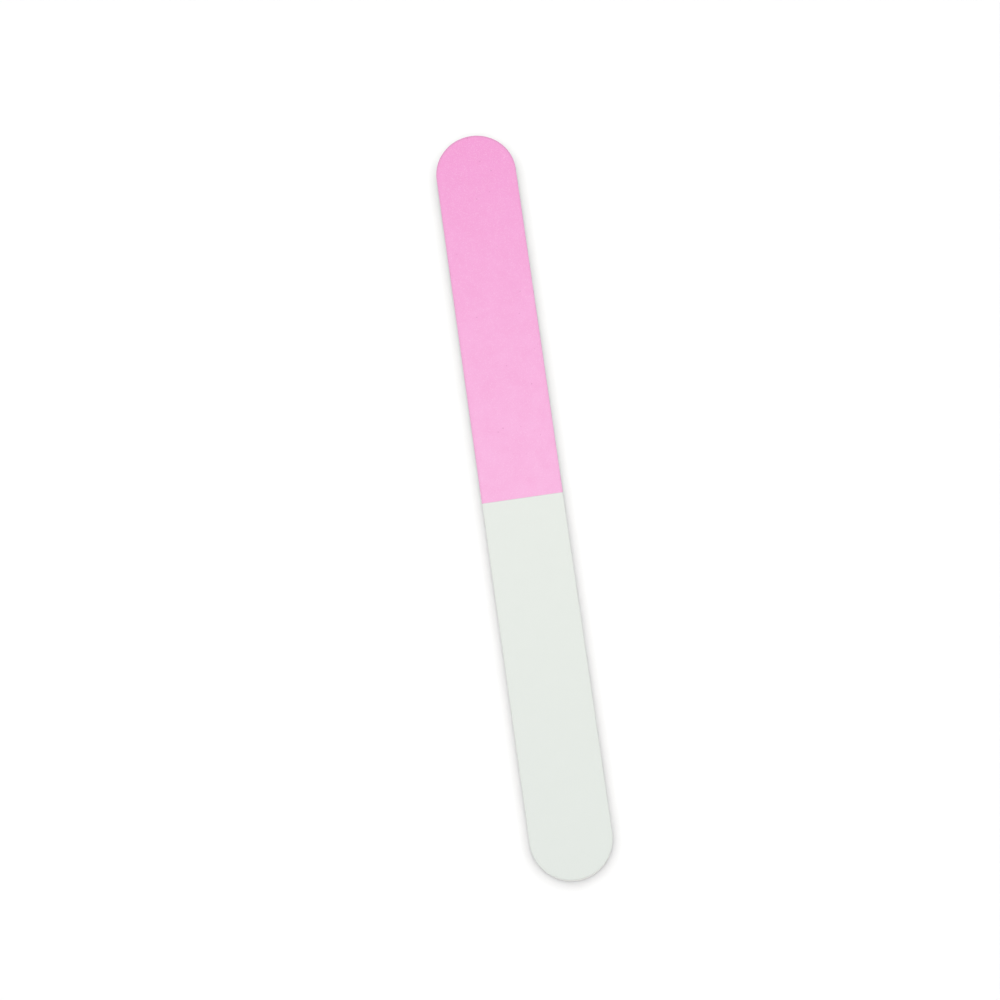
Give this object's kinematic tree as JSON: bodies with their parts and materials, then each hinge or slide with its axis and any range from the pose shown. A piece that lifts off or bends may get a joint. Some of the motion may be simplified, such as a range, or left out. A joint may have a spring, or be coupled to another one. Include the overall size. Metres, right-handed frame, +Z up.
{
  "type": "nail buffer",
  "caption": "Flat cushioned nail buffer board with round ends: pink abrasive and off-white buffing faces on the front, a grey shine sheet on the back, foam and a stiff core between.",
  "frame": {"origin": "middle of the back face that the board lies on", "axes": "+Y along the board towards the pink end, +X across it, +Z up out of the split front face"},
  "size_m": [0.019, 0.178, 0.0047],
  "materials": {
    "pink_abrasive": "fine grit coat on paper, matt",
    "white_polishing": "very fine grit coat on film, satin",
    "grey_shine": "smooth soft film, low sheen",
    "foam": "closed-cell foam with a cut edge",
    "core_plastic": "white polystyrene strip",
    "adhesive_film": "clear to straw-coloured acrylic adhesive film"
  },
  "bodies": {
    "root": {"pink_abrasive_sheet": "pink_abrasive", "white_polishing_sheet": "white_polishing", "pink_sheet_adhesive": "adhesive_film", "white_sheet_adhesive": "adhesive_film", "front_foam": "foam", "front_core_adhesive": "adhesive_film", "core_strip": "core_plastic", "back_core_adhesive": "adhesive_film", "back_foam": "foam", "grey_sheet_adhesive": "adhesive_film", "grey_shine_sheet": "grey_shine"}
  },
  "joints": []
}
